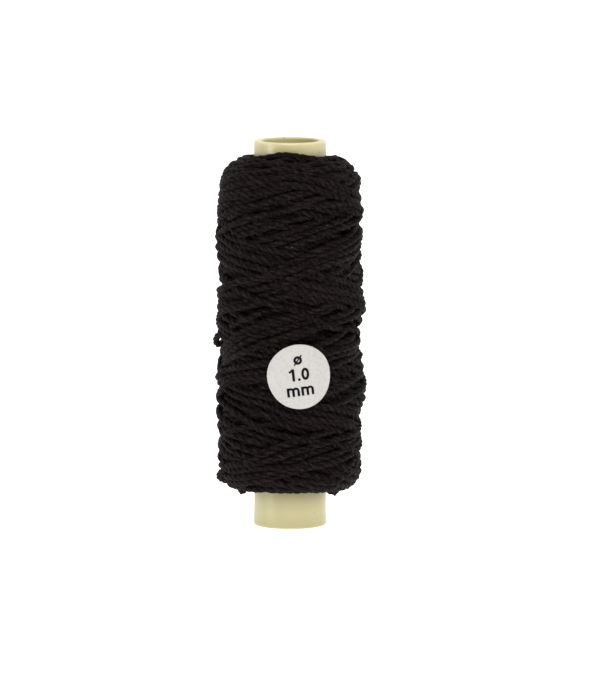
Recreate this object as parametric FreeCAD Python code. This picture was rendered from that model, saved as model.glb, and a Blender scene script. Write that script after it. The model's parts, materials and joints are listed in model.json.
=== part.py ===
"""Waxed thread spool: a hollow core tube, the thread cross-wound on it, and a round size label.

Units are millimetres. The tube stands upright on its lower rim: the origin is the centre of
that rim, +Z runs up the tube's axis, and -Y is the side that the label faces.
"""
import FreeCAD, Part
import math
import os

# Driving dimensions of the core tube
TUBE_LENGTH = 60.0
TUBE_DIAMETER = 11.2
TUBE_WALL = 1.2
RIM_ROUND = 0.3  # radius that takes the sharp edge off both rims, inside and outside

# Driving dimensions of the thread winding
WINDING_DIAMETER = 22.4
LOWER_STUB = 5.8  # bare tube below the winding
UPPER_STUB = 2.3  # bare tube above the winding
LOWER_FLAT = 2.4  # width of the level ring where the winding meets the tube, at the lower end
UPPER_FLAT = 1.0  # the same at the upper end
LOWER_SHOULDER = 3.2  # height over which the lower end rounds out to the full diameter
UPPER_SHOULDER = 5.2  # the same at the upper end

# Driving dimensions of the size label
LABEL_DIAMETER = 10.0
LABEL_THICKNESS = 0.12
LABEL_HEIGHT = 24.6  # centre of the label above the tube's lower rim
LABEL_TURN = 7.6  # degrees that the label sits round from the front, towards +X

UP = FreeCAD.Vector(0, 0, 1)
AXIS_FOOT = FreeCAD.Vector(0, 0, 0)


def core_tube():
    """Straight round tube, open from end to end, with all four rim edges rounded."""
    outer = Part.makeCylinder(TUBE_DIAMETER / 2, TUBE_LENGTH)
    bore = Part.makeCylinder(TUBE_DIAMETER / 2 - TUBE_WALL, TUBE_LENGTH)
    tube = outer.cut(bore)
    rims = [edge for edge in tube.Edges if isinstance(edge.Curve, Part.Circle)]
    return tube.makeFillet(RIM_ROUND, rims)


def shoulder(inner, level, outer, height):
    """Arc in the XZ plane from (inner, level), out to (outer, level + height), where it runs
    straight up or down the winding's side. A negative height makes the upper shoulder."""
    step = outer - inner
    radius = (step ** 2 + height ** 2) / (2 * step)
    centre_x = outer - radius
    centre_z = level + height
    start_angle = math.atan2(level - centre_z, inner - centre_x)
    half = start_angle / 2
    start = FreeCAD.Vector(inner, 0, level)
    middle = FreeCAD.Vector(centre_x + radius * math.cos(half), 0, centre_z + radius * math.sin(half))
    end = FreeCAD.Vector(outer, 0, centre_z)
    return start, end, Part.Arc(start, middle, end).toShape()


def thread_winding():
    """The whole package of wound thread as one ring round the tube, with rounded shoulders."""
    tube_radius = TUBE_DIAMETER / 2
    side = WINDING_DIAMETER / 2
    low = LOWER_STUB
    high = TUBE_LENGTH - UPPER_STUB
    low_start, low_end, low_arc = shoulder(tube_radius + LOWER_FLAT, low, side, LOWER_SHOULDER)
    high_start, high_end, high_arc = shoulder(tube_radius + UPPER_FLAT, high, side, -UPPER_SHOULDER)
    low_foot = FreeCAD.Vector(tube_radius, 0, low)
    high_foot = FreeCAD.Vector(tube_radius, 0, high)
    outline = Part.Wire([
        Part.makeLine(low_foot, low_start),
        low_arc,
        Part.makeLine(low_end, high_end),
        high_arc,
        Part.makeLine(high_start, high_foot),
        Part.makeLine(high_foot, low_foot),
    ])
    return Part.Face(outline).revolve(AXIS_FOOT, UP, 360)


def size_label():
    """Round paper label, bent round the winding's side: a thin shell cut to the outline that a
    round disc has once it is bent, which is narrower across the bend than along it."""
    seat = WINDING_DIAMETER / 2
    half_height = LABEL_DIAMETER / 2
    half_width = seat * math.sin(half_height / seat)
    foot = FreeCAD.Vector(0, 0, LABEL_HEIGHT - LABEL_DIAMETER)
    shell = Part.makeCylinder(seat + LABEL_THICKNESS, 2 * LABEL_DIAMETER, foot)
    shell = shell.cut(Part.makeCylinder(seat, 2 * LABEL_DIAMETER, foot))
    centre = FreeCAD.Vector(0, 0, LABEL_HEIGHT)
    top = FreeCAD.Vector(0, 0, LABEL_HEIGHT + half_height)
    side = FreeCAD.Vector(half_width, 0, LABEL_HEIGHT)
    outline = Part.Wire(Part.Ellipse(top, side, centre).toShape())
    disc = Part.Face(outline).extrude(FreeCAD.Vector(0, -WINDING_DIAMETER, 0))
    disc.rotate(AXIS_FOOT, UP, LABEL_TURN)
    return shell.common(disc)


PIECES = {
    "core_tube": core_tube,
    "thread_winding": thread_winding,
    "size_label": size_label,
}

os.makedirs("parts", exist_ok=True)
for name, make in PIECES.items():
    shape = make()
    solid = shape.Solids[0]
    if len(shape.Solids) != 1 or not solid.isValid():
        raise ValueError(name + " is not one valid solid")
    solid.exportStep("parts/" + name + ".step")
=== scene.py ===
"""Waxed thread spool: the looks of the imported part, laid out as a Blender add-on and run as a
script.

Everything is in metres in the part's own frame: the tube stands on its lower rim at the origin,
+Z runs up the tube's axis, and the label faces -Y.
"""
import json
import math

import bpy
import numpy as np
from bpy.props import (FloatProperty, FloatVectorProperty, IntProperty, PointerProperty,
                       StringProperty)
from bpy.types import Operator, Panel, PropertyGroup
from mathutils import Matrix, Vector


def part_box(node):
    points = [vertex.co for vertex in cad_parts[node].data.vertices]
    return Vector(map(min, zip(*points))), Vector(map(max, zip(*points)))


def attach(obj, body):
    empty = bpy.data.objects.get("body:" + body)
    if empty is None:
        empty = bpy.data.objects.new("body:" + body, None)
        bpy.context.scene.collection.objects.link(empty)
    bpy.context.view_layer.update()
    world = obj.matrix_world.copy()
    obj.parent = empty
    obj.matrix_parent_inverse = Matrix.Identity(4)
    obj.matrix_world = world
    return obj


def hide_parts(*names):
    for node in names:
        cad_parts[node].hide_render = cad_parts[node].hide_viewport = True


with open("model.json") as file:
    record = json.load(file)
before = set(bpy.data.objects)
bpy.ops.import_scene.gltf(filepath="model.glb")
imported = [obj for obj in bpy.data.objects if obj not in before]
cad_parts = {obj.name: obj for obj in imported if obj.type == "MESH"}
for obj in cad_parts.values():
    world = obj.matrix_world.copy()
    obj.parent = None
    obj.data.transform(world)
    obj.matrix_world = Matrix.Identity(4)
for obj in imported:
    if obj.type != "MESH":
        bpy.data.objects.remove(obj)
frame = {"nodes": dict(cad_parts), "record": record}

bl_info = {
    "name": "Waxed Thread Spool",
    "version": (1, 0, 0),
    "blender": (4, 5, 0),
    "location": "3D View > Sidebar > Spool",
    "description": "Makes a plastic core tube cross-wound with waxed thread, and its size label",
    "category": "Object",
}

MM = 0.001
FULL_TURN = 2 * math.pi
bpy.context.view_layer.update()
TUBE_LOW, TUBE_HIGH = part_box("core_tube")
WINDING_LOW, WINDING_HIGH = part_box("thread_winding")
LABEL_LOW, LABEL_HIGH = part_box("size_label")
TUBE_RADIUS = (TUBE_HIGH[0] - TUBE_LOW[0]) / 2
BORE_RADIUS = MM * next(mount["dims"]["r_mm"] for mount in frame["record"]["mounts"]
                        if mount["name"] == "spindle_bore")
WINDING_RADIUS = (WINDING_HIGH[0] - WINDING_LOW[0]) / 2
LABEL_CENTRE = [(low + high) / 2 for low, high in zip(LABEL_LOW, LABEL_HIGH)]
LABEL_RADIUS = (LABEL_HIGH[2] - LABEL_LOW[2]) / 2
LABEL_TURN = math.atan2(LABEL_CENTRE[1], LABEL_CENTRE[0])
FULL_RADIUS = WINDING_RADIUS - 0.55 * MM  # mean radius that the winding of the package reaches


# ---------------------------------------------------------------- settings

class SpoolThreadSettings(PropertyGroup):
    """Sizes and colours of the wound thread."""
    thickness: FloatProperty(
        name="Thickness", description="Diameter of the twisted thread over its plies",
        default=1.12 * MM, unit="LENGTH", precision=5)
    contact: FloatProperty(
        name="Contact share", description="Share of the thickness that lies between a turn and the "
        "one it is laid on. Pressing the package to its outline takes more away", default=0.67,
        subtype="FACTOR")
    plies: IntProperty(name="Plies", description="Strands twisted together", default=3)
    twist: FloatProperty(
        name="Twist length", description="Length of thread in which a ply goes once round",
        default=4.2 * MM, unit="LENGTH", precision=5)
    groove: FloatProperty(
        name="Groove", description="Depth of the groove between plies, as a share of the radius",
        default=0.25, subtype="FACTOR")
    seed: IntProperty(name="Seed", description="Picks one winding of many", default=3)
    hairs: IntProperty(name="Hairs", description="Loose fibres on the outer turns", default=900)
    colour: FloatVectorProperty(
        name="Colour", description="Dyed and waxed fibre", subtype="COLOR",
        default=(0.0014, 0.0008, 0.0009))
    # The lighter colour serves the raised fibre's streaks and speckle, and also the painted
    # highlight on the ply crests
    lit_colour: FloatVectorProperty(
        name="Raised fibre colour", description="Fibre that stands up and is worn dry",
        subtype="COLOR", default=(0.0225, 0.0165, 0.0160))


class SpoolLabelSettings(PropertyGroup):
    """Sizes and colours of the paper label and its print."""
    thickness: FloatProperty(
        name="Thickness", description="Paper and glue", default=0.11 * MM, unit="LENGTH",
        precision=5)
    stiffness: IntProperty(
        name="Stiffness", description="How often the paper is evened out over the thread",
        default=120)
    tilt: FloatProperty(
        name="Tilt", description="How far the print leans, rising to the right",
        default=math.radians(7), subtype="ANGLE")
    number: StringProperty(
        name="Number", description="Thickness of the thread in millimetres", default="1.0")
    paper: FloatVectorProperty(
        name="Paper", description="Colour of the paper", subtype="COLOR",
        default=(0.465, 0.450, 0.429))
    ink: FloatVectorProperty(
        name="Ink", description="Colour of the print", subtype="COLOR",
        default=(0.004, 0.0035, 0.004))


class SpoolTubeSettings(PropertyGroup):
    """Edges and colour of the plastic tube."""
    rim_round: FloatProperty(
        name="Rim round", description="Radius on the edges of both rims", unit="LENGTH",
        default=0.3 * MM, precision=5)
    colour: FloatVectorProperty(
        name="Plastic", description="Cream plastic", subtype="COLOR",
        default=(0.543, 0.492, 0.276))


class SpoolStageSettings(PropertyGroup):
    """Camera, floor and lights."""
    elevation: FloatProperty(
        name="Elevation", description="How far the camera looks down", subtype="ANGLE",
        default=math.radians(7.2))
    distance: FloatProperty(
        name="Distance", description="From the camera to the spool", unit="LENGTH", default=1.07)
    lens: FloatProperty(name="Lens", description="Focal length", default=369.0)
    aim: FloatVectorProperty(
        name="Aim", description="Point that the middle of the picture shows",
        subtype="TRANSLATION", default=(1.54 * MM, 0.0, 29.4 * MM))


# ---------------------------------------------------------------- meshes

def grid_faces(rows, columns):
    """Quads between the points of a grid whose columns close on themselves: the corners of a
    quad are its own point, the next round, and the same two one row on."""
    row = np.arange(rows - 1)[:, None] * columns
    here = np.arange(columns)[None, :]
    there = (here + 1) % columns
    quads = np.stack([row + here, row + there, row + columns + there, row + columns + here], -1)
    return quads.reshape(-1, 4)


def mesh_piece(name, points, faces, material, extra_faces=()):
    """A smooth-shaded mesh object from an array of points and an array of quads."""
    mesh = bpy.data.meshes.new(name)
    mesh.from_pydata(points.reshape(-1, 3), [], [*faces.tolist(), *extra_faces])
    mesh.polygons.foreach_set("use_smooth", np.ones(len(mesh.polygons), bool))
    mesh.materials.append(material)
    mesh.update()
    piece = bpy.data.objects.new(name, mesh)
    bpy.context.scene.collection.objects.link(piece)
    return piece


def vertex_array(mesh):
    """The mesh's vertices as an array of points."""
    points = np.empty(len(mesh.vertices) * 3)
    mesh.vertices.foreach_get("co", points)
    return points.reshape(-1, 3)


def set_attribute(mesh, name, values):
    """A value of one, two or three numbers on each vertex."""
    kind = {1: "FLOAT", 3: "FLOAT_VECTOR"}[values.shape[1]]
    attribute = mesh.attributes.new(name, kind, "POINT")
    attribute.data.foreach_set("value" if kind == "FLOAT" else "vector", values.ravel())


# ---------------------------------------------------------------- materials

WHITE, BLACK = (1, 1, 1), (0, 0, 0)


def new_material(name):
    """An empty node material: its node tree, its shader and a maker of further nodes."""
    material = bpy.data.materials.new(name)
    material.use_nodes = True
    tree = material.node_tree
    tree.nodes.clear()
    output = tree.nodes.new("ShaderNodeOutputMaterial")
    shader = tree.nodes.new("ShaderNodeBsdfPrincipled")
    tree.links.new(shader.outputs["BSDF"], output.inputs["Surface"])

    def add(kind, inputs=None, **settings):
        node = tree.nodes.new(kind)
        for key, value in settings.items():
            setattr(node, key, value)
        for key, value in (inputs or {}).items():
            if isinstance(value, bpy.types.NodeSocket):
                tree.links.new(value, node.inputs[key])
            else:
                node.inputs[key].default_value = value
        return node

    return material, shader, add, tree.links.new


def ramp(add, factor, stops):
    """A colour ramp through (place, colour) stops."""
    node = add("ShaderNodeValToRGB", {"Fac": factor})
    for number, (place, colour) in enumerate(stops):
        element = node.color_ramp.elements
        stop = element[number] if number < 2 else element.new(place)
        stop.position = place
        stop.color = (*colour, 1.0)
    return node.outputs["Color"]


def noise(add, place, scale, detail=2.0):
    """Cloudy noise between 0 and 1."""
    return add("ShaderNodeTexNoise", {"Vector": place, "Scale": scale,
                                      "Detail": detail}).outputs["Fac"]


def blend(add, share, under, over, kind="MIX"):
    """One colour laid over another by a share, or both multiplied."""
    return add("ShaderNodeMix", {0: share, 6: under, 7: over}, data_type="RGBA",
               blend_type=kind).outputs[2]


def bumpy(add, height, strength, depth):
    """The surface's normal, tilted by a height that stands up that deep."""
    return add("ShaderNodeBump", {"Height": height, "Strength": strength,
                                  "Distance": depth}).outputs["Normal"]


def scattered_dots(add, place, scale, inner, outer, patch_scale, patch_from, patch_to):
    """Mask of small dots, each fading out between two distances from its centre, and only in
    the patches where a noise is high."""
    cells = add("ShaderNodeTexVoronoi", {"Vector": place, "Scale": scale})
    near = ramp(add, cells.outputs["Distance"], [(inner, WHITE), (outer, BLACK)])
    few = ramp(add, noise(add, place, patch_scale), [(patch_from, BLACK), (patch_to, WHITE)])
    return blend(add, 1.0, near, few, "MULTIPLY")


def thread_material(settings):
    """Waxed twisted fibre: streaks that follow the plies, raised dry fibre and flecks of wax, with
    a painted highlight on the ply crests and painted shade in the grooves between them.
    """
    material, shader, add, link = new_material("waxed_thread")
    lie = add("ShaderNodeAttribute", attribute_name="lie").outputs["Vector"]
    streaks = add("ShaderNodeTexNoise", {"Vector": lie, "Scale": 1.5, "Detail": 3.0,
                                         "Roughness": 0.6}).outputs["Fac"]
    place = add("ShaderNodeTexCoord").outputs["Object"]
    speckle = noise(add, place, 2600.0)
    crest = add("ShaderNodeAttribute", attribute_name="crest").outputs["Fac"]
    # Painted highlight and shade: ply crests are pushed towards the lighter colour, the grooves
    # between plies towards the darker one
    painted_crest_highlight = add("ShaderNodeMath", {0: crest, 1: 0.08}, operation="MULTIPLY")
    streaks_and_crest_highlight = add("ShaderNodeMath", {0: streaks, 1: 0.60, 2: painted_crest_highlight.outputs[0]},
                 operation="MULTIPLY_ADD")
    tone = add("ShaderNodeMath", {0: speckle, 1: 0.32, 2: streaks_and_crest_highlight.outputs[0]},
               operation="MULTIPLY_ADD").outputs[0]
    fibre = ramp(add, tone, [(0.47, settings.colour), (0.68, settings.lit_colour)])
    wax = scattered_dots(add, place, 900.0, 0.05, 0.12, 300.0, 0.60, 0.66)
    link(blend(add, wax, fibre, (0.06, 0.055, 0.05, 1.0)), shader.inputs["Base Color"])
    link(bumpy(add, tone, 0.8, 0.06 * MM), shader.inputs["Normal"])
    gloss = add("ShaderNodeMapRange", {"Value": tone, "To Min": 0.80, "To Max": 0.55})
    link(gloss.outputs["Result"], shader.inputs["Roughness"])
    shader.inputs["Specular IOR Level"].default_value = 0.04
    shader.inputs["Specular Tint"].default_value = (1.0, 0.84, 0.82, 1.0)
    shader.inputs["Sheen Weight"].default_value = 0.03
    shader.inputs["Sheen Roughness"].default_value = 0.45
    shader.inputs["Sheen Tint"].default_value = (0.5, 0.43, 0.4, 1.0)
    return material


def fibre_material(settings):
    """Single dry fibres, lighter than the waxed thread."""
    material, shader, add, link = new_material("loose_fibre")
    place = add("ShaderNodeTexCoord").outputs["Object"]
    base = np.array(settings.lit_colour)
    colour = ramp(add, noise(add, place, 900.0), [(0.3, tuple(base)), (0.7, tuple(base * 2.5))])
    link(colour, shader.inputs["Base Color"])
    shader.inputs["Roughness"].default_value = 0.6
    shader.inputs["Specular IOR Level"].default_value = 0.2
    return material


def tube_material(settings):
    """Moulded cream plastic: slightly milky, glossy, with faint flow marks and a few dark specks.
    Painted shade darkens the lower end towards the winding, in place of the shade under the
    winding's overhang."""
    material, shader, add, link = new_material("tube_plastic")
    place = add("ShaderNodeTexCoord").outputs["Object"]
    flow = noise(add, place, 130.0)
    base = np.array(settings.colour)
    cream = ramp(add, flow, [(0.3, tuple(base * 0.985)), (0.7, tuple(base * 1.015))])
    # Painted shade: the lower end darkens upward from 2.4 mm, darkest just under the winding, where
    # its overhang would shade the tube
    level = add("ShaderNodeSeparateXYZ", {"Vector": place}).outputs["Z"]
    near = add("ShaderNodeMapRange", {"Value": level, "From Min": 2.4 * MM, "From Max": 8.8 * MM})
    painted_shade_under_winding = ramp(add, near.outputs["Result"], [(0.0, WHITE), (0.23, (0.84, 0.84, 0.82)),
                                                (0.46, (0.57, 0.56, 0.52)), (1.0, WHITE)])
    cream = blend(add, 1.0, cream, painted_shade_under_winding, "MULTIPLY")
    dirt = scattered_dots(add, place, 700.0, 0.08, 0.16, 260.0, 0.62, 0.66)
    link(blend(add, dirt, cream, (0.10, 0.08, 0.05, 1.0)), shader.inputs["Base Color"])
    gloss = add("ShaderNodeMapRange", {"Value": flow, "To Min": 0.30, "To Max": 0.36})
    link(gloss.outputs["Result"], shader.inputs["Roughness"])
    link(bumpy(add, flow, 0.10, 0.03 * MM), shader.inputs["Normal"])
    shader.inputs["Specular IOR Level"].default_value = 0.35
    shader.inputs["Subsurface Weight"].default_value = 0.35
    shader.inputs["Subsurface Radius"].default_value = (1.0, 0.85, 0.5)
    shader.inputs["Subsurface Scale"].default_value = 2.2 * MM
    return material


def paper_material(settings):
    """Matt paper with a fine tooth and the faintest mottle."""
    material, shader, add, link = new_material("label_paper")
    place = add("ShaderNodeTexCoord").outputs["Object"]
    base = np.array(settings.paper)
    colour = ramp(add, noise(add, place, 2600.0), [(0.36, tuple(base * 0.92)),
                                                   (0.52, tuple(base * 1.01))])
    link(colour, shader.inputs["Base Color"])
    tooth = noise(add, place, 3500.0, detail=3.0)
    link(bumpy(add, tooth, 0.25, 0.01 * MM), shader.inputs["Normal"])
    shader.inputs["Roughness"].default_value = 0.7
    return material


def ink_material(settings):
    """Dense printed ink, a little uneven."""
    material, shader, add, link = new_material("label_ink")
    place = add("ShaderNodeTexCoord").outputs["Object"]
    base = np.array(settings.ink)
    colour = ramp(add, noise(add, place, 4000.0), [(0.35, tuple(base)), (0.75, tuple(base * 2.2))])
    link(colour, shader.inputs["Base Color"])
    shader.inputs["Roughness"].default_value = 0.75
    shader.inputs["Specular IOR Level"].default_value = 0.08
    return material


# ---------------------------------------------------------------- tube

def turned_tube(outer, bore, length, rim_round):
    """The tube's wall section turned about the axis. The section is a closed line: up the outer
    wall, round the upper rim, down the bore and round the lower rim, with a quarter circle at
    each of its four corners."""
    wall = np.linspace(rim_round, length - rim_round, 41)[1:-1]
    section, sides = [], 192
    corners = [(outer - rim_round, rim_round, -90), (outer - rim_round, length - rim_round, 0),
               (bore + rim_round, length - rim_round, 90), (bore + rim_round, rim_round, 180)]
    for number, (radius, height, begin) in enumerate(corners):
        turn = np.radians(np.linspace(begin, begin + 90, 9))
        section.append(np.stack([radius + rim_round * np.cos(turn),
                                 height + rim_round * np.sin(turn)], 1))
        if number == 0:
            section.append(np.stack([np.full(len(wall), outer), wall], 1))
        if number == 2:
            section.append(np.stack([np.full(len(wall), bore), wall[::-1]], 1))
    section = np.concatenate(section)
    around = np.arange(sides) / sides * FULL_TURN
    points = np.stack([section[:, :1] * np.cos(around), section[:, :1] * np.sin(around),
                       np.repeat(section[:, 1:], sides, 1)], -1)
    faces = grid_faces(len(section) + 1, sides) % (len(section) * sides)
    return points, faces[:, ::-1]


# ---------------------------------------------------------------- winding the thread

COLUMNS = 96  # steps in one turn
ROW = 0.2 * MM  # height of a row of the package's height map
BRIDGE = 0.45 * MM  # how far a taut turn may stand off the turns under it
END_TILT = 0.5 * MM  # how much higher the package's ends lie on the label's side
UNEVEN = 0.30 * MM  # how much the package bulges and hollows between its ends
SUNK = 0.20 * MM  # how far the package's mean surface lies inside its outline
SLIDES = 16  # passes in which a stretch slips sideways
PULLS = 150  # passes in which it is pulled taut
FRESH_TRIES, BESIDE_TRIES = 40, 10  # runs planned at random, of which the best is laid
STREAKS_ROUND = 2.2  # how finely the fibre's streaks divide the section
STREAK_LENGTH = 1.6 * MM  # and the length along the thread in which they change
# Stretches of the thread: name, share of the length where it ends, point spacing, sides of its
# section. The first one lies deepest, so it is coarser.
STRETCHES = [
    ("thread_first_layers", 0.40, 0.9 * MM, 6),
    ("thread_second_layers", 0.52, 0.3 * MM, 12),
    ("thread_third_layers", 0.64, 0.3 * MM, 12),
    ("thread_fourth_layers", 0.76, 0.3 * MM, 12),
    ("thread_fifth_layers", 0.88, 0.3 * MM, 12),
    ("thread_last_layer", 1.00, 0.3 * MM, 12),
]
# Turns that stand slack: degrees round from +X, radius, height, shift outward, shift up, rise
# along the stretch, and its length
SLACK_TURNS = [
    (180, 11.2 * MM, 28.9 * MM, 1.0 * MM, 0.0, 3.6 * MM, 3.2 * MM),
    (0, 11.2 * MM, 26.6 * MM, 0.45 * MM, 0.0, 0.0, 1.6 * MM),
    (180, 10.8 * MM, 7.2 * MM, 0.75 * MM, -0.3 * MM, 0.0, 2.2 * MM),
    (198, 7.8 * MM, 5.9 * MM, 0.4 * MM, -1.2 * MM, 0.0, 1.9 * MM),
    (-18, 7.4 * MM, 5.7 * MM, 0.4 * MM, -1.2 * MM, 0.0, 1.7 * MM),
    (-90, 6.6 * MM, 58.0 * MM, 0.1 * MM, 0.30 * MM, 0.0, 5.0 * MM),
    (-98, 6.8 * MM, 58.6 * MM, 0.0, 0.45 * MM, 0.0, 2.2 * MM),
]


def smoothed(values, reach):
    """Running mean with a bell-shaped weight that reaches so many steps each way."""
    weight = np.hanning(2 * reach + 3)[1:-1]
    return np.convolve(np.pad(values, reach, mode="edge"), weight / weight.sum(), mode="valid")


class Package:
    """The package while it is wound, as a height map: for each step round and each row up, the
    radius that the thread laid so far has reached."""

    def __init__(self, contact_radius):
        self.contact = contact_radius
        self.floor = WINDING_LOW[2] - 1 * MM
        self.rows = int((WINDING_HIGH[2] - WINDING_LOW[2] + 2 * MM) / ROW)
        self.reached = np.full((COLUMNS, self.rows), TUBE_RADIUS)
        reach = int(math.ceil(contact_radius / ROW * 1.3))
        self.near = np.arange(-reach, reach + 2)[:, None]

    def under(self, height, lean):
        """Rows under a thread at each height, which of them it covers, and how far its round
        section reaches up or down from its centre there. lean is the cosine of its slope."""
        place = (height - self.floor) / ROW
        base = np.floor(place).astype(int)
        rows = np.clip(base + self.near, 0, self.rows - 1)
        off = (self.near - (place - base)) * ROW * lean
        reach = np.sqrt(np.maximum(self.contact ** 2 - off ** 2, 0.0))
        return rows, np.abs(off) < self.contact, reach

    def rest(self, columns, height, lean):
        """Radius at which a thread's centre comes to rest on what is already there."""
        rows, covered, reach = self.under(height, lean)
        return np.where(covered, self.reached[columns, rows] + reach, 0.0).max(0)

    def lay(self, columns, height, radius, lean):
        """Adds a length of thread, whose centre lies at that radius, to the map."""
        rows, covered, reach = self.under(height, lean)
        for row, mask, lift in zip(rows, covered, reach):
            cell = columns[mask], row[mask]
            self.reached[cell] = np.maximum(self.reached[cell], (radius + lift)[mask])

    def middle_radius(self):
        """Mean radius over the middle of the package."""
        return self.reached[:, self.rows // 5: -self.rows // 5].mean()


def package_outline():
    """Heights and outer radii of the package's outline, from its CAD solid."""
    points = vertex_array(frame["nodes"]["thread_winding"].data)
    radius = np.hypot(points[:, 0], points[:, 1])
    level = np.round(points[:, 2], 5)
    heights = np.unique(level)
    return heights, np.array([radius[level == height].max() for height in heights])


def shoulder_limits(radius, heights, radii):
    """Lowest and highest place where the outline is at least that wide."""
    wide = heights[radii >= min(radius, WINDING_RADIUS) - 1e-6]
    return wide.min(), wide.max()


def wobble(waves, share):
    """Sum of sines of rising number and falling size over a length, zero at its ends."""
    number = np.arange(1, len(waves) + 1)[:, None]
    curve = (waves[:, None] / number * np.sin(math.pi * number * share)).sum(0)
    return curve * np.clip(np.minimum(share, 1 - share) / 0.12, 0, 1)


def fresh_run(rng):
    """A new run of the thread: its turns, how far its end slips, and its wobble."""
    turns = rng.uniform(2.2, 3.4) if rng.random() < 0.8 else rng.uniform(3.4, 5.0)
    return turns, rng.uniform(-0.8, 1.2) * MM, rng.normal(0, 0.7 * MM, 7)


def run_beside(rng, past, width):
    """A run that follows the last one that went the same way. Its turns are changed so that
    the pair of runs comes round to a thread's width beside where it began."""
    turns, slip, waves = past[-2]
    pitch = (WINDING_HIGH[2] - WINDING_LOW[2]) / turns
    shift = width / pitch + rng.normal(0, 0.006)
    over = turns + past[-1][0] - shift
    turns -= over - round(over)
    return turns, slip + rng.normal(0, 0.15 * MM), waves + rng.normal(0, 0.06 * MM, 7)


def traverse(run, start, going_up, low, high, end_low, end_high):
    """Planned heights of one run of the thread from one end of the package to the other: a
    steady climb, eased at both ends, with a slow wobble."""
    turns, slip, waves = run
    end = min(high + slip, end_high) if going_up else max(low - slip, end_low)
    count = int(turns * COLUMNS)
    share = (np.arange(count) + 1) / count
    ease = 0.16 / turns
    climb = np.cumsum(np.minimum(np.minimum(share, 1 - share) / ease, 1.0))
    heights = start + (end - start) * climb / climb[-1] + wobble(waves, share)
    return np.clip(heights, end_low, end_high)


def lean_of(heights, radius):
    """Cosine of the thread's slope, from its rise in each step round."""
    slope = np.gradient(heights) / (radius * FULL_TURN / COLUMNS)
    return 1 / np.sqrt(1 + slope ** 2)


def slide_sideways(package, columns, plan, laid, middle):
    """The thread slips off the ridges under it: each pass moves it towards the lower side,
    a little back towards its plan, and smooths it with what is already laid."""
    heights = plan.copy()
    for _ in range(SLIDES):
        lean = lean_of(np.concatenate([laid[-2:], heights]), middle)[2:]
        tilt = (package.rest(columns, heights + ROW, lean)
                - package.rest(columns, heights - ROW, lean))
        push = smoothed(-np.clip(tilt, -0.5 * MM, 0.5 * MM), 5) * 0.4
        heights = heights + push + (plan - heights) * 0.02
        heights = smoothed(np.concatenate([laid, heights]), 3)[len(laid):]
    return heights


def pull_taut(resting, laid):
    """The thread bridges hollows: each point is as low as what it rests on and as the straight
    line between its neighbours, which is their mean times the cosine of a step, allow. The soft
    bed gives, so the thread stands off it by no more than the bridge height."""
    radius = np.concatenate([laid, resting])
    bed = radius.copy()
    sag = math.cos(FULL_TURN / COLUMNS)
    for _ in range(PULLS):
        radius[1:-1] = np.maximum(bed[1:-1], 0.5 * (radius[:-2] + radius[2:]) * sag)
        radius[:len(laid)] = laid
    radius = np.minimum(radius, bed + BRIDGE)
    return smoothed(radius, 3)[len(laid):]


def wind_thread(settings, full_radius):
    """Winds the thread turn by turn until the middle of the package is full_radius thick.
    Each traverse is the best of many planned at random, the one that lies lowest, then half a
    turn at a time slides sideways, is pulled taut and is added to the height map.
    Returns angle, height and radius of each step, and the package."""
    rng = np.random.default_rng(settings.seed)
    half = settings.thickness / 2
    package = Package(half * settings.contact)
    heights, radii = package_outline()
    room = 0.3 * MM  # how far a turn may slip past the planned ends
    end_low, end_high = WINDING_LOW[2] + half, WINDING_HIGH[2] - half - room
    back = COLUMNS // 4
    laid_height = np.full(back, end_low)
    laid_radius = np.full(back, TUBE_RADIUS + package.contact)
    middle, step, going_up = TUBE_RADIUS, 0, True
    past, alike = [], 0
    while middle < full_radius:
        low, high = shoulder_limits(middle, heights, radii)
        best = None
        for _ in range(BESIDE_TRIES if alike else FRESH_TRIES):
            run = run_beside(rng, past, 0.9 * settings.thickness) if alike else fresh_run(rng)
            plan = traverse(run, laid_height[-1], going_up, low + half, high - half,
                            end_low, end_high)
            columns = (step + np.arange(len(plan))) % COLUMNS
            rest = smoothed(package.rest(columns, plan, lean_of(plan, middle)), 6)
            cost = (np.maximum(rest - middle + 0.2 * MM, 0) ** 2).mean()
            if best is None or cost < best[0]:
                best = cost, plan, columns, run
        _, plan, columns, run = best
        past.append(run)
        alike = alike - 1 if alike else int(rng.integers(3, 9)) * (len(past) > 1)
        first = 0
        while first < len(plan):
            last = min(first + COLUMNS // 2, len(plan))
            ahead = min(last + COLUMNS // 3, len(plan))
            here = columns[first:ahead]
            height = slide_sideways(package, here, plan[first:ahead], laid_height[-back:], middle)
            height = np.clip(height, end_low - room, end_high + room)
            lean = lean_of(np.concatenate([laid_height[-2:], height]), middle)[2:]
            radius = pull_taut(package.rest(here, height, lean), laid_radius[-back:])
            count = last - first
            package.lay(here[:count], height[:count], radius[:count], lean[:count])
            laid_height = np.concatenate([laid_height, height[:count]])
            laid_radius = np.concatenate([laid_radius, radius[:count]])
            miss = height[count - 1] - plan[last - 1]
            plan[last:] += miss * np.exp(-np.arange(len(plan) - last) / 40.0)
            first = last
        step += len(plan)
        going_up = not going_up
        middle = package.middle_radius()
    angle = np.arange(step) * FULL_TURN / COLUMNS
    return angle, laid_height[back:], laid_radius[back:], package


def blurred(values, round_reach, up_reach):
    """The map smoothed with bell-shaped weights, round the package and up it."""
    wrapped = np.pad(values, ((round_reach, round_reach), (0, 0)), mode="wrap")
    weight = np.hanning(2 * round_reach + 3)[1:-1]
    weight /= weight.sum()
    smooth = sum(w * wrapped[k:k + len(values)] for k, w in enumerate(weight))
    return np.stack([smoothed(column, up_reach) for column in smooth])


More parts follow.
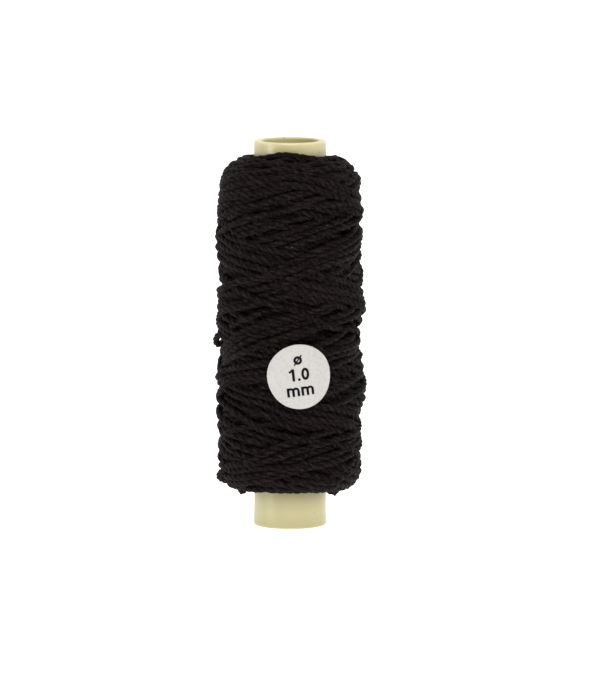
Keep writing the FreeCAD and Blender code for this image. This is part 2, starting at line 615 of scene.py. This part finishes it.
def uneven_shape(rng, turn, level):
    """Bulges and hollows of the package: a sum of waves that run round it one to five times and
    up it in 6 to 20 mm, fading to nothing at both ends and to a quarter under the label, where
    the thread was smoothed down for the paper."""
    total, waves = 0.0, (1, 2, 2, 3, 3, 4, 5)
    for rounds in waves:
        length = rng.uniform(6, 20) * MM * rng.choice((-1, 1))
        total = total + np.cos(rounds * turn + FULL_TURN * level / length
                               + rng.uniform(0, FULL_TURN))
    from_end = np.minimum(level - WINDING_LOW[2], WINDING_HIGH[2] - level)
    aside = WINDING_RADIUS * ((turn - LABEL_TURN + math.pi) % FULL_TURN - math.pi)
    from_label = np.hypot(aside, level - LABEL_CENTRE[2])
    calm = np.interp(from_label, [4.5 * MM, 8.5 * MM], [0.25, 1.0])
    spread = math.sqrt(len(waves) / 2)
    return UNEVEN * total / spread * np.clip(from_end / (5 * MM), 0, 1) * calm


def press_to_outline(settings, angle, height, radius, package):
    """Turns under tension even the package out: every point's depth over the tube is scaled by
    the wanted depth over the local depth of the package. The wanted surface is the outline, a
    little sunk, with the package's bulges and hollows added. Of what still stands above the
    outline, all is pressed back at the ends of the package and two fifths in its middle."""
    heights, radii = package_outline()
    levels = package.floor + np.arange(package.rows) * ROW
    turns = np.arange(COLUMNS)[:, None] * FULL_TURN / COLUMNS
    uneven = uneven_shape(np.random.default_rng(settings.seed + 3), turns, levels[None, :])
    wanted = np.interp(levels, heights, radii) - SUNK + uneven
    surface = blurred(package.reached, 3, 7) + settings.thickness / 2 - package.contact
    scale = np.clip((wanted - TUBE_RADIUS) / np.maximum(surface - TUBE_RADIUS, 1e-4), 0.5, 1.25)
    column = np.round(angle / FULL_TURN * COLUMNS).astype(int) % COLUMNS
    place = (height - package.floor) / ROW
    row = np.clip(np.floor(place).astype(int), 0, package.rows - 2)
    part = place - row
    local = scale[column, row] * (1 - part) + scale[column, row + 1] * part
    bulge = uneven[column, row] * (1 - part) + uneven[column, row + 1] * part
    pressed = TUBE_RADIUS + (radius - TUBE_RADIUS) * smoothed(local, 4)
    half = settings.thickness / 2
    flush = np.minimum(np.interp(height, heights, radii) - half,
                       np.interp(height + 0.7 * half, heights, radii) - 0.7 * half) + bulge
    rise = np.maximum(pressed - flush, 0)
    from_end = np.minimum(height - WINDING_LOW[2], WINDING_HIGH[2] - height)
    share = np.interp(from_end, [2.5 * MM, 6 * MM], [1.0, 0.4])
    return smoothed(pressed - share * rise, 2)


def slacken(angle, height, radius, places):
    """A few turns stand slack. At each place the nearest turn is moved outward and upward by a
    bell-shaped share of the place's shifts, and the rise climbs along the moved stretch."""
    for degrees, distance, level, outward, upward, rise, reach in places:
        turn = math.radians(degrees)
        miss = np.hypot(radius * np.cos(angle) - distance * math.cos(turn),
                        radius * np.sin(angle) - distance * math.sin(turn))
        chosen = int(np.argmin(np.hypot(miss, height - level)))
        travelled = (np.arange(len(angle)) - chosen) * distance * FULL_TURN / COLUMNS
        share = np.exp(-(travelled / reach) ** 2)
        radius = radius + outward * share
        height = height + (upward + rise * travelled / reach) * share
    return height, radius


def tuck_end(radius, depth, reach):
    """The thread's outer end dives under its neighbours over the last stretch."""
    travelled = np.arange(len(radius))[::-1] * WINDING_RADIUS * FULL_TURN / COLUMNS
    return radius - depth * np.clip(1 - travelled / reach, 0, 1) ** 2


def read_route(points):
    """The smooth centreline: a NURBS spline with those control points, read back as points."""
    curve = bpy.data.curves.new("thread_route", "CURVE")
    curve.dimensions = "3D"
    curve.resolution_u = 4
    spline = curve.splines.new("NURBS")
    spline.points.add(len(points) - 1)
    spline.points.foreach_set("co", np.column_stack([points, np.ones(len(points))]).ravel())
    spline.order_u = 3
    spline.use_endpoint_u = True
    holder = bpy.data.objects.new("thread_route", curve)
    bpy.context.scene.collection.objects.link(holder)
    graph = bpy.context.evaluated_depsgraph_get()
    line = bpy.data.meshes.new_from_object(holder.evaluated_get(graph))
    route = vertex_array(line)
    bpy.data.meshes.remove(line)
    bpy.data.objects.remove(holder)
    bpy.data.curves.remove(curve)
    return route


def length_along(route):
    """Distance of each point of the route from its start."""
    step = np.linalg.norm(np.diff(route, axis=0), axis=1)
    return np.concatenate([[0.0], np.cumsum(step)])


def evenly(route, spacing):
    """The same line with its points that far apart."""
    along = length_along(route)
    places = np.linspace(0, along[-1], max(int(along[-1] / spacing), 2) + 1)
    return np.stack([np.interp(places, along, route[:, axis]) for axis in range(3)], 1)


def slow_noise(rng, along, lengths):
    """Sum of sines of those wavelengths with random phase, between about -1 and 1."""
    waves = [np.sin(along * FULL_TURN / length + rng.uniform(0, FULL_TURN)) for length in lengths]
    return sum(waves) / math.sqrt(len(lengths))


def twisted_surface(settings, route, along, sides, rng):
    """A lobed section carried along the route. Its radius at angle a from a groove is
    R (1 - g (1 - |sin(n a / 2)|)^1.5) for n plies and groove depth g, and the section turns
    once in each twist length. Angles are measured from the direction away from the tube.
    Returns the points of each ring, how the fibre lies, which is the cosine and sine of the
    place on the section and the length along the thread, both scaled for the streaks, and how far
    up its ply each point is."""
    tangent = np.gradient(route, axis=0)
    tangent /= np.linalg.norm(tangent, axis=1)[:, None]
    outward = route * (1, 1, 0)
    outward -= (outward * tangent).sum(1)[:, None] * tangent
    outward /= np.linalg.norm(outward, axis=1)[:, None]
    across = np.cross(tangent, outward)
    around = np.arange(sides) / sides * FULL_TURN
    lobe = 1 - settings.groove * (1 - np.abs(np.sin(settings.plies * around / 2))) ** 1.5
    swell = 1 + 0.05 * slow_noise(rng, along, [2.3 * MM, 5.1 * MM, 17 * MM, 61 * MM])
    radius = settings.thickness / 2 * swell[:, None] * lobe[None, :]
    drift = 0.35 * slow_noise(rng, along, [9 * MM, 23 * MM])
    turn = (along / settings.twist * FULL_TURN + drift)[:, None] + around[None, :]
    ring = (outward[:, None, :] * np.cos(turn)[..., None]
            + across[:, None, :] * np.sin(turn)[..., None])
    points = route[:, None, :] + ring * radius[..., None]
    lie = np.empty(points.shape)
    lie[..., 0] = np.cos(around) * STREAKS_ROUND
    lie[..., 1] = np.sin(around) * STREAKS_ROUND
    lie[..., 2] = (along / STREAK_LENGTH)[:, None]
    crest = np.broadcast_to((lobe - lobe.min()) / (lobe.max() - lobe.min()), points.shape[:2])
    return points, lie, crest


def thread_piece(name, settings, route, along, sides, material, rng):
    """One stretch of the thread as a closed mesh."""
    points, lie, crest = twisted_surface(settings, route, along, sides, rng)
    rows = len(route)
    start = list(range(sides))
    end = [(rows - 1) * sides + k for k in reversed(range(sides))]
    faces = grid_faces(rows, sides)[:, ::-1]
    piece = mesh_piece(name, points, faces, material, [start, end])
    set_attribute(piece.data, "lie", lie.reshape(-1, 3))
    set_attribute(piece.data, "crest", crest.reshape(-1, 1))
    return piece


# ---------------------------------------------------------------- label and its print

class LabelSeat:
    """The surface that the paper lies on: a patch of the package, unrolled to a plane of
    distance round and height, with the radius that the thread or the stretched paper reaches."""

    CELL = 0.3 * MM
    BARE = WINDING_RADIUS - 0.6 * MM  # where no thread lies in a cell

    def __init__(self, threads, reach, paper_stiffness):
        """Takes the largest radius of the thread in each cell, then lets the paper span the
        hollows: each cell is as high as the thread, pressed in a little, and the mean of its
        four neighbours allow."""
        self.half = int(reach / self.CELL)
        count = 2 * self.half + 1
        top = np.full((count, count), self.BARE)
        for points in threads:
            turn = np.arctan2(points[:, 1], points[:, 0])
            apart = (turn - LABEL_TURN + math.pi) % FULL_TURN - math.pi
            column = np.round(apart * WINDING_RADIUS / self.CELL).astype(int) + self.half
            row = np.round((points[:, 2] - LABEL_CENTRE[2]) / self.CELL).astype(int) + self.half
            near = (column >= 0) & (column < count) & (row >= 0) & (row < count)
            radius = np.hypot(points[:, 0], points[:, 1])
            np.maximum.at(top, (column[near], row[near]), radius[near])
        bed = top - 0.03 * MM
        paper = bed.copy()
        for _ in range(paper_stiffness):
            padded = np.pad(paper, 1, mode="edge")
            mean = (padded[:-2, 1:-1] + padded[2:, 1:-1]
                    + padded[1:-1, :-2] + padded[1:-1, 2:]) / 4
            paper = np.maximum(bed, mean)
        smooth = blurred_flat(paper, 3)
        self.paper = smooth + (bed - smooth).max() * 0.85
        self.mean_radius = self.paper.mean()

    def place(self, across, up, lift):
        """Points of the paper at a distance across and up from its centre, and that far off
        its underside."""
        column = np.clip(across / self.CELL + self.half, 0, 2 * self.half - 1e-6)
        row = np.clip(up / self.CELL + self.half, 0, 2 * self.half - 1e-6)
        left, low = np.floor(column).astype(int), np.floor(row).astype(int)
        part, share = column - left, row - low
        under = self.paper[left, low] * (1 - part) + self.paper[left + 1, low] * part
        over = self.paper[left, low + 1] * (1 - part) + self.paper[left + 1, low + 1] * part
        radius = (under * (1 - share) + over * share) + lift
        turn = LABEL_TURN + across / self.mean_radius
        return np.stack([radius * np.cos(turn), radius * np.sin(turn), LABEL_CENTRE[2] + up], -1)


def blurred_flat(values, reach):
    """The grid smoothed both ways with a bell-shaped weight."""
    once = np.stack([smoothed(line, reach) for line in values])
    return np.stack([smoothed(line, reach) for line in once.T]).T


def paper_disc(seat, radius, thickness):
    """A round closed sheet: rings of points run from the centre of the underside out to its rim,
    over the rim and back to the centre of the face."""
    rings = np.concatenate([[0.02], np.linspace(0.06, 0.97, 20), [0.99, 1.0]])
    share = np.concatenate([rings, rings[::-1]])
    lift = np.concatenate([np.zeros(len(rings)), np.full(len(rings), thickness)])
    lift[len(rings) - 1] += 0.15 * thickness
    lift[len(rings)] -= 0.15 * thickness
    sides = 128
    around = np.arange(sides) / sides * FULL_TURN
    across = radius * share[:, None] * np.cos(around)
    up = radius * share[:, None] * np.sin(around)
    points = seat.place(across, up, lift[:, None])
    last = (len(share) - 1) * sides
    caps = [list(range(sides)), [last + k for k in reversed(range(sides))]]
    return points, grid_faces(len(share), sides)[:, ::-1], caps


def arc_stroke(centre, size, begin, end):
    """Points of an ellipse's arc, between two angles in degrees."""
    turn = np.radians(np.linspace(begin, end, 49))
    return np.stack([centre[0] + size[0] * np.cos(turn), centre[1] + size[1] * np.sin(turn)], 1)


def bar_stroke(start, end):
    """Points of a straight stroke."""
    share = np.linspace(0, 1, 13)[:, None]
    return np.array(start) * (1 - share) + np.array(end) * share


def size_mark(number):
    """Strokes of the printed mark, in millimetres from the label's centre, each with its width:
    a diameter sign, the number, and mm for millimetres."""
    strokes = [(arc_stroke((0, 2.58), (0.47, 0.47), 0, 360), 0.38),
               (bar_stroke((-0.64, 1.84), (0.64, 3.32)), 0.22)]
    left = -1.66
    for sign in number:
        if sign == "0":
            strokes.append((arc_stroke((left + 0.66, 0.36), (0.42, 0.76), 0, 360), 0.40))
            left += 1.42
        elif sign == "1":
            strokes.append((bar_stroke((left + 0.72, -0.60), (left + 0.72, 1.32)), 0.42))
            strokes.append((bar_stroke((left + 0.66, 1.18), (left + 0.14, 0.78)), 0.32))
            left += 1.30
        elif sign == ".":
            strokes.append((bar_stroke((left + 0.26, -0.60), (left + 0.26, -0.22)), 0.40))
            left += 0.60
        else:
            raise ValueError("no strokes are known for " + sign)
    for left in (-2.02, 0.20):
        strokes.append((bar_stroke((left, -2.98), (left, -1.58)), 0.40))
        for step in (0.0, 0.79):
            middle = left + step + 0.395
            strokes.append((arc_stroke((middle, -2.08), (0.395, 0.32), 180, 0), 0.36))
            strokes.append((bar_stroke((middle + 0.395, -2.08), (middle + 0.395, -2.98)), 0.40))
    return strokes


def print_strokes(seat, strokes, tilt, foot, thickness):
    """Each stroke as a flat ribbon of ink with square ends: its left and right edges lie half
    its width off its line, and the whole mark is turned by the tilt."""
    points, faces, caps, used = [], [], [], 0
    turn = np.array([[math.cos(tilt), math.sin(tilt)], [-math.sin(tilt), math.cos(tilt)]])
    for line, width in strokes:
        along = np.gradient(line, axis=0)
        along /= np.linalg.norm(along, axis=1)[:, None]
        side = np.stack([-along[:, 1], along[:, 0]], 1) * width / 2
        left, right = ((line + side) @ turn) * MM, ((line - side) @ turn) * MM
        ring = [seat.place(edge[:, 0], edge[:, 1], lift)
                for edge, lift in ((left, foot), (right, foot), (right, foot + thickness),
                                   (left, foot + thickness))]
        points.append(np.stack(ring, 1).reshape(-1, 3))
        faces.append(grid_faces(len(line), 4)[:, ::-1] + used)
        last = used + (len(line) - 1) * 4
        caps += [[used, used + 1, used + 2, used + 3], [last + 3, last + 2, last + 1, last]]
        used += len(line) * 4
    return np.concatenate(points), np.concatenate(faces), caps


# ---------------------------------------------------------------- loose fibres

def fibre_hairs(rng, feet, directions, outward, count):
    """Fine hairs: each leaves the thread's surface, leans with the thread and curls in an arc,
    and tapers to its tip. The line at share t of length L is
    foot + L (t (lean along the thread + rise outward) + t^2 curl)."""
    chosen = rng.integers(0, len(feet), count)
    foot, along, out = feet[chosen], directions[chosen], outward[chosen]
    length = rng.gamma(2.2, 0.26 * MM, count)[:, None]
    lean = rng.normal(0, 1.0, (count, 1)) * along
    rise = rng.uniform(0.25, 1.0, (count, 1)) * out
    start = lean + rise + rng.normal(0, 0.35, (count, 3))
    start /= np.linalg.norm(start, axis=1)[:, None]
    curl = rng.normal(0, 0.45, (count, 3))
    rings, sides = 6, 3
    share = np.linspace(0, 1, rings)[None, :, None]
    line = (foot[:, None] + length[:, None] * (share * start[:, None]
                                               + share ** 2 * curl[:, None]))
    thick = rng.uniform(0.010, 0.018, (count, 1, 1)) * MM * (1 - 0.7 * share)
    tangent = np.gradient(line, axis=1)
    tangent /= np.linalg.norm(tangent, axis=2)[..., None]
    side = np.cross(tangent, out[:, None])
    side /= np.maximum(np.linalg.norm(side, axis=2)[..., None], 1e-9)
    upper = np.cross(side, tangent)
    around = np.arange(sides)[:, None] / sides * FULL_TURN
    ring = side[:, :, None] * np.cos(around) + upper[:, :, None] * np.sin(around)
    points = line[:, :, None] + ring * thick[..., None]
    first = np.arange(count) * rings * sides
    faces = (grid_faces(rings, sides)[None] + first[:, None, None]).reshape(-1, 4)
    tip = (rings - 1) * sides
    caps = np.concatenate([first[:, None] + [2, 1, 0], first[:, None] + [tip, tip + 1, tip + 2]])
    return points, faces, caps.tolist()


# ---------------------------------------------------------------- operators

def outer_stretches(count):
    """Points on the surface of each of the last stretches of the thread."""
    return [vertex_array(bpy.data.objects[name].data) for name, *_ in STRETCHES[-count:]]


class SPOOL_OT_thread(Operator):
    """Wind one continuous thread on the tube, in stretches that join end to end"""
    bl_idname = "spool.thread"
    bl_label = "Wind Thread"

    def execute(self, context):
        settings = context.scene.spool_thread
        angle, height, radius, package = wind_thread(settings, FULL_RADIUS)
        radius = press_to_outline(settings, angle, height, radius, package)
        height = height - END_TILT * np.sin(angle)
        height, radius = slacken(angle, height, radius, SLACK_TURNS)
        radius = tuck_end(radius, depth=1.4 * MM, reach=9 * MM)
        line = np.stack([radius * np.cos(angle), radius * np.sin(angle), height], 1)[::2]
        route = read_route(line)
        along = length_along(route)
        total = along[-1]
        material = thread_material(settings)
        rng = np.random.default_rng(settings.seed + 1)
        begin = 0.0
        for name, share, spacing, sides in STRETCHES:
            inside = (along >= begin * total - 1e-9) & (along <= share * total + 1e-9)
            path = evenly(route[inside], spacing)
            distance = begin * total + length_along(path)
            piece = thread_piece(name, settings, path, distance, sides, material, rng)
            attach(piece, "root")
            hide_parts("thread_winding")
            begin = share
        print("thread", round(total, 3), "m in", round(len(angle) / COLUMNS, 1), "turns")
        return {"FINISHED"}


class SPOOL_OT_label(Operator):
    """Lay the round paper label over the thread and print its size mark"""
    bl_idname = "spool.label"
    bl_label = "Stick On Label"

    def execute(self, context):
        settings = context.scene.spool_label
        seat = LabelSeat(outer_stretches(3), LABEL_RADIUS + 2 * MM, settings.stiffness)
        points, faces, caps = paper_disc(seat, LABEL_RADIUS, settings.thickness)
        disc = mesh_piece("paper_label", points, faces, paper_material(settings), caps)
        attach(disc, "root")
        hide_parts("size_label")
        ink = 0.012 * MM
        points, faces, caps = print_strokes(seat, size_mark(settings.number), settings.tilt,
                                            settings.thickness - ink, 2 * ink)
        mark = mesh_piece("printed_size_mark", points, faces, ink_material(settings), caps)
        mark.data.polygons.foreach_set("use_smooth", np.zeros(len(mark.data.polygons), bool))
        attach(mark, "root")
        return {"FINISHED"}


class SPOOL_OT_fibres(Operator):
    """Raise loose fibres from the outer turns"""
    bl_idname = "spool.fibres"
    bl_label = "Raise Fibres"

    def execute(self, context):
        settings = context.scene.spool_thread
        rng = np.random.default_rng(settings.seed + 2)
        surface = np.concatenate(outer_stretches(2))
        feet = surface[np.hypot(surface[:, 0], surface[:, 1]) > FULL_RADIUS]
        feet = feet[np.linalg.norm(feet - LABEL_CENTRE, axis=1) > LABEL_RADIUS + 0.8 * MM]
        outward = feet * (1, 1, 0)
        outward /= np.linalg.norm(outward, axis=1)[:, None]
        along = np.cross((0, 0, 1), outward)
        points, faces, caps = fibre_hairs(rng, feet, along, outward, settings.hairs)
        hairs = mesh_piece("loose_fibres", points, faces, fibre_material(settings), caps)
        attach(hairs, "root")
        return {"FINISHED"}


class SPOOL_OT_tube(Operator):
    """Turn the smooth core tube"""
    bl_idname = "spool.tube"
    bl_label = "Turn Tube"

    def execute(self, context):
        settings = context.scene.spool_tube
        points, faces = turned_tube(TUBE_RADIUS, BORE_RADIUS, TUBE_HIGH[2], settings.rim_round)
        tube = mesh_piece("plastic_tube", points, faces, tube_material(settings))
        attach(tube, "root")
        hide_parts("core_tube")
        return {"FINISHED"}


class SPOOL_OT_stage(Operator):
    """Set the pale floor, the soft lights and the camera"""
    bl_idname = "spool.stage"
    bl_label = "Set Stage"

    def execute(self, context):
        scene = context.scene
        settings = scene.spool_stage
        build_floor()
        build_lights(scene)
        build_camera(scene, settings)
        return {"FINISHED"}


# ---------------------------------------------------------------- stage

SPOOL_MIDDLE = (0, 0, 0.03)
ROOM_GLOW, FLOOR_GLOW = 0.30, 0.70  # how strongly the surroundings and the floor shine
# Lights: name, place, width and height in metres, power in watts
LIGHTS = [
    ("front_soft", (0.0, -0.90, 0.30), 0.9, 0.5, 0.95),
    ("left_strip", (-0.80, -0.37, 0.020), 0.030, 0.03, 1.9),
    ("right_soft", (0.78, -0.45, 0.28), 0.5, 0.5, 2.4),
    ("top_soft", (0.0, -0.15, 0.75), 0.35, 0.35, 4.4),
]


def build_floor():
    """A floor that runs back and rises into a backdrop: straight, then a quarter circle."""
    material, shader, add, link = new_material("pale_paper_roll")
    place = add("ShaderNodeTexCoord").outputs["Object"]
    grain = noise(add, place, 60.0, detail=3.0)
    link(ramp(add, grain, [(0.3, (0.93, 0.93, 0.93)), (0.7, (0.95, 0.95, 0.95))]),
         shader.inputs["Base Color"])
    shader.inputs["Roughness"].default_value = 0.9
    shader.inputs["Specular IOR Level"].default_value = 0.1
    shader.inputs["Emission Color"].default_value = (1, 1, 1, 1)
    shader.inputs["Emission Strength"].default_value = FLOOR_GLOW
    reach, bend, top, half_width = 3.0, 1.5, 4.0, 4.0
    turn = np.linspace(0, math.pi / 2, 17)
    depth = np.concatenate([[-reach], reach - bend + bend * np.sin(turn), [reach]])
    rise = np.concatenate([[0.0], bend - bend * np.cos(turn), [top]])
    across = np.linspace(-half_width, half_width, 3)
    points = np.stack([np.broadcast_to(across[None, :], (len(depth), 3)),
                       np.broadcast_to(depth[:, None], (len(depth), 3)),
                       np.broadcast_to(rise[:, None], (len(depth), 3))], -1)
    row = np.arange(len(depth) - 1)[:, None] * 3
    here = np.arange(2)[None, :]
    faces = np.stack([row + here, row + here + 1, row + here + 4, row + here + 3], -1)
    floor = mesh_piece("pale_floor", points, faces.reshape(-1, 4), material)


def area_light(name, place, target, width, height, power):
    """A rectangular light at a place, turned to face the target."""
    lamp = bpy.data.lights.new(name, "AREA")
    lamp.shape = "RECTANGLE"
    lamp.size, lamp.size_y, lamp.energy = width, height, power
    holder = bpy.data.objects.new(name, lamp)
    holder.location = place
    holder.rotation_euler = (Vector(target) - Vector(place)).to_track_quat("-Z", "Y").to_euler()
    bpy.context.scene.collection.objects.link(holder)


def build_lights(scene):
    """Even white surroundings, and the lights."""
    world = bpy.data.worlds.new("white_room")
    world.use_nodes = True
    world.node_tree.nodes["Background"].inputs["Color"].default_value = (1, 1, 1, 1)
    world.node_tree.nodes["Background"].inputs["Strength"].default_value = ROOM_GLOW
    scene.world = world
    for name, place, width, height, power in LIGHTS:
        area_light(name, place, SPOOL_MIDDLE, width, height, power)


def build_camera(scene, settings):
    """A long lens far back, so that the spool's sides stay nearly parallel."""
    camera = bpy.data.cameras.new("camera")
    camera.lens = settings.lens
    camera.sensor_width = 36.0
    holder = bpy.data.objects.new("camera", camera)
    back = Vector((0, -math.cos(settings.elevation), math.sin(settings.elevation)))
    aim = Vector(settings.aim)
    holder.location = aim + back * settings.distance
    holder.rotation_euler = (-back).to_track_quat("-Z", "Y").to_euler()
    scene.collection.objects.link(holder)
    scene.camera = holder
    scene.view_settings.view_transform = "Standard"


class SPOOL_PT_panel(Panel):
    """Buttons for the pieces of the spool"""
    bl_idname = "SPOOL_PT_panel"
    bl_label = "Waxed Thread Spool"
    bl_space_type = "VIEW_3D"
    bl_region_type = "UI"
    bl_category = "Spool"

    def draw(self, context):
        for step in STEPS:
            self.layout.operator(step.bl_idname)


SETTINGS = {
    "spool_thread": SpoolThreadSettings,
    "spool_label": SpoolLabelSettings,
    "spool_tube": SpoolTubeSettings,
    "spool_stage": SpoolStageSettings,
}
STEPS = (SPOOL_OT_tube, SPOOL_OT_thread, SPOOL_OT_label, SPOOL_OT_fibres, SPOOL_OT_stage)
CLASSES = (*SETTINGS.values(), *STEPS, SPOOL_PT_panel)


def register():
    for item in CLASSES:
        bpy.utils.register_class(item)
    for name, group in SETTINGS.items():
        setattr(bpy.types.Scene, name, PointerProperty(type=group))


def unregister():
    for name in SETTINGS:
        delattr(bpy.types.Scene, name)
    for item in reversed(CLASSES):
        bpy.utils.unregister_class(item)


def main():
    register()
    for step in STEPS:
        group, name = step.bl_idname.split(".")
        getattr(getattr(bpy.ops, group), name)()


if __name__ == "__main__":
    main()
